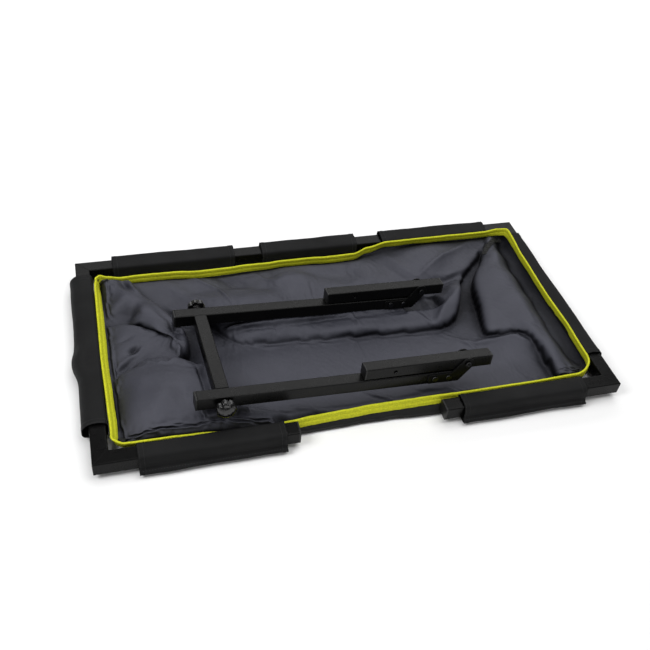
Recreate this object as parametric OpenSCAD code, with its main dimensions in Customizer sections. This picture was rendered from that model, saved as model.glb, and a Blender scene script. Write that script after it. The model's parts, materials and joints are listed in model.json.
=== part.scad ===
// Folding tray: a square-tube frame with a fabric basin and a folding leg set stowed in it.
// Origin on the ground at the middle of the frame, +X along its long side, +Y to the far side.

/* [Frame] */
// Outer length of the tray frame
frame_len = 880; // [760:10:1000]
// Outer width of the tray frame
frame_wid = 462; // [440:2:560]
// Side of the square frame tube
frame_tube = 25; // [22:1:28]
// Wall of the frame tube
frame_wall = 1.5; // [1:0.1:2]
// Height of the tubes' underside above the ground
frame_lift = 8; // [7:1:12]
// Open gap between the two stub tubes of the near side
gap_len = 243; // [200:1:260]
// Distance of the gap's middle to the left of the frame's middle
gap_shift = 4.5; // [0:0.5:8]
// Outer corner radius of every square tube
tube_edge = 2; // [1.6:0.1:3]

/* [Basin] */
// Space from the frame's outer edge to the basin at the near side and both ends
basin_inset = 31; // [30:1:36]
// Space from the frame's outer edge to the basin at the far side
basin_far_inset = 40; // [34:1:46]
// Corner radius of the basin
basin_corner = 26; // [20:1:40]
// Thickness of the folded fabric wall and floor
basin_wall = 2; // [1.5:0.1:2.5]
// Height of the basin's mouth above the ground
basin_height = 29; // [27:1:31]
// Height of the lime binding round the mouth
binding_height = 16; // [12:1:18]
// Thickness of one layer of the binding
binding_wall = 1.2; // [0.8:0.1:1.6]
// Width of a corner seam tape
tape_width = 14; // [8:1:16]

/* [Sleeves] */
// Length of the four outer sleeves on the long sides
sleeve_len = 226; // [180:2:240]
// Length of the middle sleeve on the far side
mid_sleeve_len = 190; // [120:2:200]
// Length of the two end sleeves
end_sleeve_len = 346; // [300:2:360]
// Distance of an outer sleeve's middle from the frame's middle
sleeve_offset = 261; // [255:1:270]
// Distance of an end sleeve's middle from the frame's middle
end_sleeve_offset = 16; // [0:1:20]
// Thickness of a sleeve's fabric with its hem
sleeve_wall = 2.4; // [1.5:0.1:3]

/* [Leg set] */
// Overall width of the leg frame
legs_wid = 228; // [200:2:250]
// Side of the square leg tube
leg_tube = 22; // [20:1:24]
// Wall of the leg tube
leg_wall = 1.5; // [1.2:0.1:2]
// Distance from the foot to the hinge end of a leg tube
leg_len = 435; // [420:1:440]
// Distance from the foot to the crossbar
crossbar_pos = 33; // [30:1:60]
// Length of the telescopic inner leg
inner_len = 376; // [300:1:380]
// Wall of the telescopic inner leg
inner_wall = 1.2; // [1:0.1:1.5]

/* [Hinge] */
// Distance from the foot to the pivot bolt
pivot_x = 450; // [448:1:454]
// Height of the pivot bolt above the leg's upper face
pivot_z = 14.5; // [14.5:0.5:18]
// Radius of the pivot bolt
pivot_r = 3; // [2.5:0.5:3]
// Length of a mounting rail from the pivot to its free end
rail_free = 180; // [150:1:190]
// Length of a mounting rail past the pivot
rail_heel = 45; // [40:1:46]
// Tilt of the folded rail, free end down
rail_tilt = 0.9; // [0.7:0.1:0.9]
// Distance of the fixing hole from the rail's free end
fixing_pos = 52; // [40:1:60]
// Radius of the fixing hole
fixing_r = 3.25; // [2.75:0.25:3.5]
// Thickness of a hinge plate
plate_t = 2; // [1.5:0.1:2.5]

/* [Star knob] */
// Overall diameter of the knob head
knob_d = 32; // [28:1:34]
// Number of lobes
knob_lobes = 7; // [6:1:8]
// Thickness of the knob head
knob_t = 15; // [12:1:16]
// Radius of the threaded stud
stud_r = 4; // [3:0.5:4]

/* [Stowed position] */
// Place of the near leg's upper foot corner
stow_pos = [-280.6, -180.5, 84.7]; // [-400:0.1:400]
// Roll, pitch and yaw of the leg set on the slack fabric
stow_rot = [-5.5, 3.6, 1.1]; // [-8:0.1:8]

/* [Hidden] */
$fn = 64;
fit_gap = 0.3;
slide_gap = 0.4;
pin_gap = 0.05;
cap_t = 2.7;
plug_depth = 12;
half_len = frame_len / 2;
half_wid = frame_wid / 2;
mid_z = frame_lift + frame_tube / 2;
gap_left = -gap_shift - gap_len / 2;
gap_right = -gap_shift + gap_len / 2;

basin_x = frame_len - 2 * basin_inset;
basin_y = frame_wid - basin_inset - basin_far_inset;
basin_mid_y = (basin_inset - basin_far_inset) / 2;
binding_bottom = basin_height + binding_wall - binding_height;
sleeve_outer = frame_tube + 2 * (fit_gap + sleeve_wall);
tab_z = 8.5;
tab_t = 3;
side_y = half_wid - frame_tube / 2;
end_x = half_len - frame_tube / 2;
near_tab = basin_inset - frame_tube / 2 - sleeve_outer / 2;
far_tab = basin_far_inset - frame_tube / 2 - sleeve_outer / 2;

inner_side = leg_tube - 2 * leg_wall - 2 * slide_gap;
rail_side = leg_tube - 2 * fit_gap;
knob_x = crossbar_pos + leg_tube / 2;
boss_len = 4;
boss_r = 7;
neck_len = 6;
rivet_x = [395, 420];
rivet_r = 3;
rivet_head_r = 5.5;
rivet_head_t = 1.8;
arm_x = 383;
arm_low = -leg_tube + 2;
arm_high = -2.5;
arm_edge = 3;
plate_heel_x = 439;
plate_web_x = 423;
plate_eye_r = 11.5;
pivot = [pivot_x, pivot_z];
heel_corner = [plate_heel_x, arm_low];
web_corner = [plate_web_x, arm_high];
bolt_head_r = 5.5;
bolt_head_t = 3;
fold_gap = 0.6;

// ---- shared shapes ----

module rounded_square(w, h, r) {
    square([w - 2 * r, h], center = true);
    square([w, h - 2 * r], center = true);
    for (sx = [-1, 1], sy = [-1, 1])
        translate([sx * (w / 2 - r), sy * (h / 2 - r)]) circle(r);
}

module along_x() {
    rotate([90, 0, 90]) children();
}

module along_y() {
    rotate([-90, 0, 0]) children();
}

module tube_profile(side, wall) {
    difference() {
        rounded_square(side, side, tube_edge);
        rounded_square(side - 2 * wall, side - 2 * wall, max(tube_edge - wall, 0.3));
    }
}

// A push-in cap: a plate the size of the tube and a spigot inside it, along +Z.
module tube_cap(side, wall, plate, depth) {
    linear_extrude(plate) rounded_square(side, side, tube_edge);
    spigot = side - 2 * wall - 0.2;
    translate([0, 0, plate - 0.5])
        linear_extrude(depth + 0.5) rounded_square(spigot, spigot, 0.8);
}

// ---- frame ----

// The plan outline of the long side at y > 0, mitred at both corners.
module long_side_outline() {
    polygon([[-half_len, half_wid], [half_len, half_wid],
        [half_len - frame_tube, half_wid - frame_tube],
        [-half_len + frame_tube, half_wid - frame_tube]]);
}

// The plan outline of the end at x > 0, mitred at both corners.
module end_outline() {
    polygon([[half_len, -half_wid], [half_len, half_wid],
        [half_len - frame_tube, half_wid - frame_tube],
        [half_len - frame_tube, -half_wid + frame_tube]]);
}

module far_tube() {
    intersection() {
        translate([-half_len, half_wid - frame_tube / 2, mid_z])
            along_x() linear_extrude(frame_len) tube_profile(frame_tube, frame_wall);
        linear_extrude(100) long_side_outline();
    }
}

module right_tube() {
    intersection() {
        translate([half_len - frame_tube / 2, -half_wid, mid_z])
            along_y() linear_extrude(frame_wid) tube_profile(frame_tube, frame_wall);
        linear_extrude(100) end_outline();
    }
}

module frame_far_tube() {
    color("#1b1b1c") far_tube();
}

module frame_right_tube() {
    color("#1b1b1c") right_tube();
}

module frame_left_tube() {
    color("#1b1b1c") mirror([1, 0, 0]) right_tube();
}

module near_stub(from_x, to_x) {
    intersection() {
        mirror([0, 1, 0]) far_tube();
        translate([from_x, -half_wid, 0]) cube([to_x - from_x, 2 * frame_tube, 100]);
    }
}

module frame_near_left_stub() {
    color("#1b1b1c") near_stub(-half_len, gap_left - cap_t);
}

module frame_near_right_stub() {
    color("#1b1b1c") near_stub(gap_right + cap_t, half_len);
}

module stub_plug_left() {
    color("#101011")
        translate([gap_left, -half_wid + frame_tube / 2, mid_z])
            rotate([0, -90, 0]) tube_cap(frame_tube, frame_wall, cap_t, plug_depth);
}

module stub_plug_right() {
    color("#101011")
        translate([gap_right, -half_wid + frame_tube / 2, mid_z])
            rotate([0, 90, 0]) tube_cap(frame_tube, frame_wall, cap_t, plug_depth);
}

// ---- basin ----

// The basin's plan outline, grown by a margin.
module basin_outline(grow) {
    translate([0, basin_mid_y])
        rounded_square(basin_x + 2 * grow, basin_y + 2 * grow, basin_corner + grow);
}

// A ridge of bunched fabric under both leg tubes, at a distance from the feet.
module bunched_fold(at_x, r) {
    reach = legs_wid - 6;
    intersection() {
        stowed() translate([at_x, 3, -leg_tube - fold_gap - r]) {
            along_y() cylinder(h = reach, r = r);
            translate([-r, 0, -100]) cube([2 * r, reach, 100]);
        }
        translate([0, 0, basin_wall / 2]) linear_extrude(200) basin_outline(-2 * basin_wall);
    }
}

module basin() {
    color("#3d3e47") {
        difference() {
            linear_extrude(basin_height) basin_outline(0);
            translate([0, 0, basin_wall]) linear_extrude(100) basin_outline(-basin_wall);
        }
        bunched_fold(knob_x + 24, 26);
        bunched_fold(arm_x - 6, 16);
    }
}

module rim_binding() {
    color("#ccd62c")
        translate([0, 0, binding_bottom]) difference() {
            linear_extrude(binding_height) basin_outline(binding_wall);
            translate([0, 0, -1]) linear_extrude(binding_height + 2)
                basin_outline(-basin_wall - binding_wall);
            translate([0, 0, -1]) linear_extrude(binding_height - binding_wall + 1)
                difference() {
                    basin_outline(0);
                    basin_outline(-basin_wall);
                }
        }
}

// The puckered tape inside one vertical corner seam, for the corner at +X +Y.
module seam_tape(sx, sy) {
    r = basin_corner - basin_wall;
    half_angle = tape_width / 2 / r * 180 / PI;
    tape_h = binding_bottom - basin_wall;
    corner = [sx * (basin_x / 2 - basin_corner), basin_mid_y + sy * (basin_y / 2 - basin_corner)];
    translate([corner[0], corner[1], basin_wall])
        rotate([0, 0, atan2(sy, sx) - half_angle])
            rotate_extrude(angle = 2 * half_angle)
                translate([r - 1, 0]) square([1, tape_h]);
}

module seam_tape_near_left() {
    color("#161617") seam_tape(-1, -1);
}

module seam_tape_near_right() {
    color("#161617") seam_tape(1, -1);
}

module seam_tape_far_left() {
    color("#161617") seam_tape(-1, 1);
}

module seam_tape_far_right() {
    color("#161617") seam_tape(1, 1);
}

// ---- sleeves ----

// A sleeve round a tube, with the tab that joins it to the basin, along +X and centred.
// The basin lies on the -Y side of the tube.
module sleeve(len, tab) {
    color("#232324") {
        translate([-len / 2, 0, mid_z]) along_x() linear_extrude(len) difference() {
            rounded_square(sleeve_outer, sleeve_outer, 4);
            rounded_square(frame_tube + 2 * fit_gap, frame_tube + 2 * fit_gap, tube_edge);
        }
        translate([-len / 2, -sleeve_outer / 2 - tab, tab_z]) cube([len, tab + 1, tab_t]);
    }
}

module sleeve_near_left() {
    translate([-sleeve_offset, -side_y, 0]) mirror([0, 1, 0]) sleeve(sleeve_len, near_tab);
}

module sleeve_near_right() {
    translate([sleeve_offset, -side_y, 0]) mirror([0, 1, 0]) sleeve(sleeve_len, near_tab);
}

module sleeve_far_left() {
    translate([-sleeve_offset, side_y, 0]) sleeve(sleeve_len, far_tab);
}

module sleeve_far_middle() {
    translate([0, side_y, 0]) sleeve(mid_sleeve_len, far_tab);
}

module sleeve_far_right() {
    translate([sleeve_offset, side_y, 0]) sleeve(sleeve_len, far_tab);
}

module sleeve_left_end() {
    translate([-end_x, end_sleeve_offset, 0]) rotate([0, 0, 90]) sleeve(end_sleeve_len, near_tab);
}

module sleeve_right_end() {
    translate([end_x, end_sleeve_offset, 0]) rotate([0, 0, -90]) sleeve(end_sleeve_len, near_tab);
}

// ---- leg set, in its own frame: X from foot to hinge, Y across, Z = 0 on the legs' upper face ----

module stowed() {
    translate(stow_pos) rotate(stow_rot) children();
}

// The near side as drawn, and the far side as its mirror image.
module near_side() {
    stowed() children();
}

module far_side() {
    stowed() translate([0, legs_wid, 0]) mirror([0, 1, 0]) children();
}

module leg_outer_tube() {
    color("#1b1b1c") difference() {
        translate([cap_t + fit_gap, leg_tube / 2, -leg_tube / 2])
            along_x() linear_extrude(leg_len - cap_t - fit_gap - cap_t)
                tube_profile(leg_tube, leg_wall);
        translate([knob_x, -1, -leg_tube / 2])
            along_y() cylinder(h = leg_wall + 1.2, r = stud_r + slide_gap);
        for (x = rivet_x)
            translate([x, -1, -leg_tube / 2]) along_y() cylinder(h = leg_tube + 2, r = rivet_r);
    }
}

module crossbar() {
    color("#1b1b1c") stowed()
        translate([crossbar_pos + leg_tube / 2, leg_tube, -leg_tube / 2])
            along_y() linear_extrude(legs_wid - 2 * leg_tube) tube_profile(leg_tube, leg_wall);
}

module clamp_boss() {
    color("#1b1b1c") translate([knob_x, -boss_len, -leg_tube / 2]) along_y() difference() {
        cylinder(h = boss_len, r = boss_r);
        translate([0, 0, -1]) cylinder(h = boss_len + 2, r = stud_r + pin_gap);
    }
}

module leg_plug() {
    color("#101011")
        translate([leg_len, leg_tube / 2, -leg_tube / 2])
            rotate([0, -90, 0]) tube_cap(leg_tube, leg_wall, cap_t, 4);
}

// The point where a line from q touches the circle round c, on the side given by turn.
function touch(q, c, r, turn) =
    let (d = q - c, a = atan2(d[1], d[0]) + turn * acos(r / norm(d)))
    c + r * [cos(a), sin(a)];

module plate_outline() {
    translate(pivot) circle(plate_eye_r);
    polygon([[arm_x + arm_edge, arm_low], heel_corner, touch(heel_corner, pivot, plate_eye_r, 1),
        pivot, touch(web_corner, pivot, plate_eye_r, -1), web_corner, [arm_x + arm_edge, arm_high]]);
    translate([arm_x, arm_low + arm_edge])
        square([2 * arm_edge, arm_high - arm_low - 2 * arm_edge]);
    for (z = [arm_low + arm_edge, arm_high - arm_edge])
        translate([arm_x + arm_edge, z]) circle(arm_edge);
}

// A hinge plate whose inner face lies at y = 0 and which is plate_t thick towards -Y.
module hinge_plate() {
    color("#1b1b1c") difference() {
        rotate([90, 0, 0]) linear_extrude(plate_t) plate_outline();
        translate([pivot_x, 1, pivot_z]) rotate([90, 0, 0]) cylinder(h = plate_t + 2, r = pivot_r);
        for (x = rivet_x)
            translate([x, 1, -leg_tube / 2]) rotate([90, 0, 0]) cylinder(h = plate_t + 2, r = rivet_r);
    }
}

module inner_plate() {
    translate([0, leg_tube + plate_t, 0]) hinge_plate();
}

// Two through rivets with a shallow head on each plate.
module rivet_pair() {
    color("#3a3a3c") for (x = rivet_x) translate([x, -plate_t, -leg_tube / 2]) {
        span = leg_tube + 2 * plate_t;
        along_y() cylinder(h = span, r = rivet_r);
        for (y = [0, span]) intersection() {
            translate([0, y, 0]) sphere(rivet_head_r);
            translate([-10, y == 0 ? -rivet_head_t : span, -10]) cube([20, rivet_head_t, 20]);
        }
    }
}

module pivot_bolt() {
    span = leg_tube + 2 * plate_t;
    color("#3a3a3c") translate([pivot_x, -plate_t, pivot_z]) along_y() {
        cylinder(h = span, r = pivot_r);
        translate([0, 0, -bolt_head_t]) difference() {
            cylinder(h = bolt_head_t, r = bolt_head_r);
            translate([0, 0, -1]) cylinder(h = 2.6, r = 2.2);
        }
        translate([0, 0, span]) cylinder(h = bolt_head_t, r = bolt_head_r);
    }
}

// ---- telescopic feet ----

module inner_leg() {
    color("#3a3a3c") translate([cap_t, leg_tube / 2, -leg_tube / 2])
        along_x() linear_extrude(inner_len) difference() {
            rounded_square(inner_side, inner_side, 1.2);
            rounded_square(inner_side - 2 * inner_wall, inner_side - 2 * inner_wall, 0.5);
        }
}

module foot_cap() {
    color("#101011") translate([0, leg_tube / 2, -leg_tube / 2]) rotate([0, 90, 0]) {
        linear_extrude(cap_t) rounded_square(leg_tube, leg_tube, tube_edge);
        spigot = inner_side - 2 * inner_wall - 0.2;
        translate([0, 0, cap_t - 0.5])
            linear_extrude(plug_depth + 0.5) rounded_square(spigot, spigot, 0.8);
    }
}

// ---- star knobs ----

// Along +Z, away from the leg, from the face of the boss.
module knob_body() {
    lobe_r = knob_d * 0.17;
    head_z = neck_len - 1;
    difference() {
        union() {
            cylinder(h = neck_len, r = boss_r + 0.8);
            intersection() {
                translate([0, 0, head_z]) linear_extrude(knob_t) {
                    circle(knob_d / 2 - lobe_r * 0.9);
                    for (i = [0 : knob_lobes - 1])
                        rotate(i * 360 / knob_lobes) translate([knob_d / 2 - lobe_r, 0]) circle(lobe_r);
                }
                translate([0, 0, head_z + knob_t - knob_d * 0.66]) sphere(knob_d * 0.66);
            }
        }
        translate([0, 0, -1]) cylinder(h = neck_len + knob_t * 0.5, r = stud_r);
    }
}

module knob_place() {
    translate([knob_x, -boss_len - slide_gap, -leg_tube / 2]) rotate([90, 0, 0]) children();
}

module knob_head() {
    color("#0c0c0d") knob_place() knob_body();
}

module knob_stud() {
    reach = boss_len + slide_gap + leg_wall + slide_gap - 0.2;
    color("#8c8c90") knob_place() translate([0, 0, -reach])
        cylinder(h = reach + neck_len - 1 + knob_t * 0.5, r = stud_r);
}

// ---- mounting rails, drawn about the pivot ----

module rail_place() {
    translate([pivot_x, leg_tube / 2, pivot_z]) rotate([0, -rail_tilt, 0]) children();
}

module rail_tube() {
    color("#1b1b1c") rail_place() difference() {
        translate([-rail_free + cap_t, 0, 0]) along_x()
            linear_extrude(rail_free + rail_heel - 2 * cap_t) tube_profile(rail_side, leg_wall);
        translate([0, -leg_tube, 0]) along_y() cylinder(h = 2 * leg_tube, r = pivot_r + pin_gap);
        translate([-rail_free + fixing_pos, -leg_tube, 0])
            along_y() cylinder(h = 2 * leg_tube, r = fixing_r);
    }
}

module rail_free_plug() {
    color("#101011") rail_place() translate([-rail_free, 0, 0])
        rotate([0, 90, 0]) tube_cap(rail_side, leg_wall, cap_t, plug_depth);
}

module rail_heel_plug() {
    color("#101011") rail_place() translate([rail_heel, 0, 0])
        rotate([0, -90, 0]) tube_cap(rail_side, leg_wall, cap_t, plug_depth);
}

module rail_bush() {
    bush_len = rail_side - 2 * leg_wall - 0.2;
    color("#101011") rail_place() translate([0, -bush_len / 2, 0]) along_y() difference() {
        cylinder(h = bush_len, r = 6);
        translate([0, 0, -1]) cylinder(h = bush_len + 2, r = pivot_r + pin_gap);
    }
}

// The crush sleeve that an M6 fixing bolt passes through inside the rail.
module fixing_sleeve() {
    inside_w = rail_side - 2 * leg_wall;
    color("#8c8c90") rail_place()
        translate([-rail_free + fixing_pos, -inside_w / 2, 0]) along_y() difference() {
            cylinder(h = inside_w, r = fixing_r + 1.5);
            translate([0, 0, -1]) cylinder(h = inside_w + 2, r = fixing_r);
        }
}

// ---- nodes ----

frame_far_tube();
frame_left_tube();
frame_right_tube();
frame_near_left_stub();
frame_near_right_stub();
stub_plug_left();
stub_plug_right();
basin();
rim_binding();
seam_tape_near_left();
seam_tape_near_right();
seam_tape_far_left();
seam_tape_far_right();
sleeve_near_left();
sleeve_near_right();
sleeve_far_left();
sleeve_far_middle();
sleeve_far_right();
sleeve_left_end();
sleeve_right_end();
near_side() leg_outer_tube();  // leg_tube_near
far_side() leg_outer_tube();  // leg_tube_far
crossbar();
near_side() clamp_boss();  // clamp_boss_near
far_side() clamp_boss();  // clamp_boss_far
near_side() hinge_plate();  // plate_near_outer
near_side() inner_plate();  // plate_near_inner
far_side() hinge_plate();  // plate_far_outer
far_side() inner_plate();  // plate_far_inner
near_side() rivet_pair();  // plate_rivets_near
far_side() rivet_pair();  // plate_rivets_far
near_side() pivot_bolt();  // pivot_bolt_near
far_side() pivot_bolt();  // pivot_bolt_far
near_side() leg_plug();  // leg_plug_near
far_side() leg_plug();  // leg_plug_far
near_side() inner_leg();  // inner_leg_near
far_side() inner_leg();  // inner_leg_far
near_side() foot_cap();  // foot_cap_near
far_side() foot_cap();  // foot_cap_far
near_side() knob_head();  // knob_head_near
far_side() knob_head();  // knob_head_far
near_side() knob_stud();  // knob_stud_near
far_side() knob_stud();  // knob_stud_far
near_side() rail_tube();  // rail_near
far_side() rail_tube();  // rail_far
near_side() rail_free_plug();  // rail_free_plug_near
far_side() rail_free_plug();  // rail_free_plug_far
near_side() rail_heel_plug();  // rail_heel_plug_near
far_side() rail_heel_plug();  // rail_heel_plug_far
near_side() rail_bush();  // rail_bush_near
far_side() rail_bush();  // rail_bush_far
near_side() fixing_sleeve();  // fixing_sleeve_near
far_side() fixing_sleeve();  // fixing_sleeve_far
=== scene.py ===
"""A fabric tray in a square-tube frame, with a folding leg set stowed in it. Metres, Z up."""
import json
import math

import bpy
import numpy as np
from mathutils import Matrix, Vector, noise
from mathutils.bvhtree import BVHTree


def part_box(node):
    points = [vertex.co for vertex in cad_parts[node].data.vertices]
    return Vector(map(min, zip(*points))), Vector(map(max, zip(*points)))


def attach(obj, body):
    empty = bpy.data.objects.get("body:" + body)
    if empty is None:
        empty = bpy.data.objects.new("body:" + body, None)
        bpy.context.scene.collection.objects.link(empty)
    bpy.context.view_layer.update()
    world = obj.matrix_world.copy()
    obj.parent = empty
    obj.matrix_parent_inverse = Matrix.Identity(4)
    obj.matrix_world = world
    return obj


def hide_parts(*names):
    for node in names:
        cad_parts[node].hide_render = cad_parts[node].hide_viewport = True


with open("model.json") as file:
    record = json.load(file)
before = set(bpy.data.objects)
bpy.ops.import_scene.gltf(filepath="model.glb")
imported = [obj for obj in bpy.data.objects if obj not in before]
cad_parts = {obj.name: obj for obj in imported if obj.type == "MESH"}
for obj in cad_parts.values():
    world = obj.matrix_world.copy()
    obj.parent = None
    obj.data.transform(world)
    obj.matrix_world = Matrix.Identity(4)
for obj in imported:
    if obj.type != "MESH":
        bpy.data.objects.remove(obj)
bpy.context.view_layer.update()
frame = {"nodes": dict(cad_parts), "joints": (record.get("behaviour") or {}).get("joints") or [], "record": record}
MM = 0.001
# Without a seed of its own, noise_vector takes one from the clock.
noise.seed_set(7)

# ---- places taken from the frame ----

FAR_LO, FAR_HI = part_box("frame_far_tube")
BASIN_LO, BASIN_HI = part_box("basin")
STUB_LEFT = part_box("stub_plug_left")
STUB_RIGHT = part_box("stub_plug_right")
TUBE = FAR_HI.y - FAR_LO.y
HALF_LEN = FAR_HI.x
HALF_WID = FAR_HI.y
TOP_Z = FAR_HI.z
LOW_Z = FAR_LO.z
JOINTS = {j["name"]: j for j in frame["joints"]}


# ---- camera, floor and light ----

# The camera of the photo, worked out from the frame's four corners. Its height is counted from
# the top of the tubes.
LENS_MM = 45.3
CAMERA_LOOK = (0.25014, 0.67920, -0.69001)
CAMERA_UP = (0.11814, 0.68593, 0.71801)
CAMERA_PLACE = (-0.3874, -0.9829, TOP_Z + 0.9935)

SKY_STRENGTH = 0.14
FLOOR_REACH = 30
FLOOR_LEVEL = -1.2 * MM
FLOOR_GREY = 0.84

# Each light: its name, size, power, place and the place it points at.
LIGHTS = [
    ("key", (1.0, 1.0), 28, (-1.5, -0.35, 1.7), (0, 0, 0)),
    ("top", (2.8, 2.8), 70, (0.8, 0.2, 2.8), (0, 0, 0)),
    ("front", (2.4, 1.0), 13, (0.1, -2.5, 1.3), (0, 0, 0)),
    ("backdrop", (3.4, 1.2), 30, (0.8, 1.8, 1.3), (0.8, 1.8, 0)),
]


def look_matrix(forward, up):
    """A camera rotation from the way it looks and its up direction."""
    back = -Vector(forward).normalized()
    right = Vector(up).cross(back).normalized()
    return Matrix((right, back.cross(right), back)).transposed()


def make_camera():
    data = bpy.data.cameras.new("camera")
    cam = bpy.data.objects.new("camera", data)
    bpy.context.collection.objects.link(cam)
    data.sensor_width = 36
    data.lens = LENS_MM
    data.clip_start, data.clip_end = 0.05, 100
    cam.rotation_mode = "QUATERNION"
    cam.rotation_quaternion = look_matrix(CAMERA_LOOK, CAMERA_UP).to_quaternion()
    cam.location = CAMERA_PLACE
    bpy.context.scene.camera = cam


def area_light(name, size, power, place, target):
    data = bpy.data.lights.new(name, "AREA")
    data.shape = "RECTANGLE"
    data.size, data.size_y = size
    data.energy = power
    lamp = bpy.data.objects.new(name, data)
    bpy.context.collection.objects.link(lamp)
    lamp.location = place
    aim = Vector(target) - Vector(place)
    lamp.rotation_mode = "QUATERNION"
    lamp.rotation_quaternion = aim.to_track_quat("-Z", "Y")


def flat_square(name, half):
    """A level square about the origin."""
    mesh = bpy.data.meshes.new(name)
    corners = [(-half, -half, 0), (half, -half, 0), (half, half, 0), (-half, half, 0)]
    mesh.from_pydata(corners, [], [(0, 1, 2, 3)])
    obj = bpy.data.objects.new(name, mesh)
    bpy.context.collection.objects.link(obj)
    return obj


def make_studio():
    scene = bpy.context.scene
    scene.view_settings.view_transform = "Standard"
    world = bpy.data.worlds.new("studio")
    scene.world = world
    world.use_nodes = True
    sky = world.node_tree.nodes["Background"]
    sky.inputs["Color"].default_value = (1, 1, 1, 1)
    sky.inputs["Strength"].default_value = SKY_STRENGTH
    floor = flat_square("floor", FLOOR_REACH)
    floor.location.z = FLOOR_LEVEL
    mat, _, shader = clear_material("floor")
    shader.inputs["Base Color"].default_value = (FLOOR_GREY, FLOOR_GREY, FLOOR_GREY, 1)
    shader.inputs["Roughness"].default_value = 0.9
    shader.inputs["Specular IOR Level"].default_value = 0.1
    floor.data.materials.append(mat)
    for light in LIGHTS:
        area_light(*light)


# ---- materials ----

# Painted shade in the folds: the share of open sky round a point at which cloth counts as closed
# in, and as open, and how bright the painted shade leaves the closed-in cloth.
FULL_SHADE_AO, NO_SHADE_AO = 0.45, 0.97
PAINTED_SHADE_BRIGHTNESS = 0.08


def clear_material(name):
    mat = bpy.data.materials.new(name)
    mat.use_nodes = True
    return mat, mat.node_tree, mat.node_tree.nodes["Principled BSDF"]


def node(tree, kind, **values):
    made = tree.nodes.new(kind)
    for key, value in values.items():
        setattr(made, key, value)
    return made


def coords(tree):
    return node(tree, "ShaderNodeTexCoord").outputs["Object"]


def noise_node(tree, vector, scale, detail=2.0, rough=0.5):
    n = node(tree, "ShaderNodeTexNoise")
    n.inputs["Scale"].default_value = scale
    n.inputs["Detail"].default_value = detail
    n.inputs["Roughness"].default_value = rough
    tree.links.new(vector, n.inputs["Vector"])
    return n.outputs["Fac"]


def wave_node(tree, vector, scale, direction):
    n = node(tree, "ShaderNodeTexWave", wave_type="BANDS", bands_direction=direction)
    n.inputs["Scale"].default_value = scale
    n.inputs["Distortion"].default_value = 0.4
    n.inputs["Detail"].default_value = 1.0
    tree.links.new(vector, n.inputs["Vector"])
    return n.outputs["Fac"]


def ramp(tree, fac, low, high, start=0.3, end=0.7):
    n = node(tree, "ShaderNodeValToRGB")
    n.color_ramp.elements[0].position = start
    n.color_ramp.elements[0].color = (*low, 1)
    n.color_ramp.elements[1].position = end
    n.color_ramp.elements[1].color = (*high, 1)
    tree.links.new(fac, n.inputs["Fac"])
    return n.outputs["Color"]


def span(tree, fac, low, high):
    n = node(tree, "ShaderNodeMapRange")
    n.inputs["To Min"].default_value = low
    n.inputs["To Max"].default_value = high
    tree.links.new(fac, n.inputs["Value"])
    return n.outputs["Result"]


def bump(tree, shader, height, strength, distance, under=None):
    n = node(tree, "ShaderNodeBump")
    n.inputs["Strength"].default_value = strength
    n.inputs["Distance"].default_value = distance
    tree.links.new(height, n.inputs["Height"])
    if under is not None:
        tree.links.new(under, n.inputs["Normal"])
    tree.links.new(n.outputs["Normal"], shader.inputs["Normal"])
    return n.outputs["Normal"]


def soft_edge(tree, radius):
    """A normal that rounds the hard edges of a CAD solid by a small radius."""
    n = node(tree, "ShaderNodeBevel", samples=6)
    n.inputs["Radius"].default_value = radius
    return n.outputs["Normal"]


def mix_add(tree, a, b):
    n = node(tree, "ShaderNodeMath", operation="ADD")
    tree.links.new(a, n.inputs[0])
    tree.links.new(b, n.inputs[1])
    return n.outputs["Value"]


def weave_height(tree, vector, scale):
    """Warp and weft ribs along the three axes, whichever way the cloth lies."""
    ribs = mix_add(tree, wave_node(tree, vector, scale, "X"), wave_node(tree, vector, scale, "Y"))
    return mix_add(tree, ribs, wave_node(tree, vector, scale, "Z"))


def hard(name, low, high, rough, mottle, smudge, grain, lift, edge, spec=0.5):
    """A hard surface, from its two colours, its roughness, the noise behind its colour, its
    roughness and its grain, the grain's strength and depth, its edge radius and its gloss."""
    mat, tree, shader = clear_material(name)
    at = coords(tree)
    tree.links.new(ramp(tree, noise_node(tree, at, *mottle), low, high), shader.inputs["Base Color"])
    tree.links.new(span(tree, noise_node(tree, at, *smudge), *rough), shader.inputs["Roughness"])
    bump(tree, shader, noise_node(tree, at, *grain), *lift, soft_edge(tree, edge * MM))
    shader.inputs["Specular IOR Level"].default_value = spec
    return mat


def powder_coat(name, low, high, spec=0.15):
    return hard(name, low, high, (0.24, 0.32), (35, 3), (60, 4), (2200, 2, 0.6), (0.25, 0.0002),
                1.3, spec)


def plastic(name, colour, rough, grain, scale=1500, edge=0.8, spec=0.3):
    lighter = tuple(c * 1.6 + 0.002 for c in colour)
    return hard(name, colour, lighter, rough, (80, 3), (120, 3), (scale, 2), (grain, 0.15 / scale),
                edge, spec)


def metal(name, colour, rough):
    dull = tuple(c * 0.7 for c in colour)
    mat = hard(name, dull, colour, rough, (200, 3), (300, 3), (900, 2), (0.2, 0.0001), 1.2)
    mat.node_tree.nodes["Principled BSDF"].inputs["Metallic"].default_value = 1.0
    return mat


def painted_fold_shade(tree, reach, low, high):
    """Painted shade in the folds: an ambient-occlusion value gives low where the cloth is closed in by its own
    folds, rising to high where it lies open.
    """
    n = node(tree, "ShaderNodeAmbientOcclusion", samples=6, only_local=True)
    n.inputs["Distance"].default_value = reach
    spread = node(tree, "ShaderNodeMapRange", interpolation_type="SMOOTHSTEP")
    spread.inputs["From Min"].default_value = FULL_SHADE_AO
    spread.inputs["From Max"].default_value = NO_SHADE_AO
    spread.inputs["To Min"].default_value = low
    spread.inputs["To Max"].default_value = high
    tree.links.new(n.outputs["AO"], spread.inputs["Value"])
    return spread.outputs["Result"]


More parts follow.
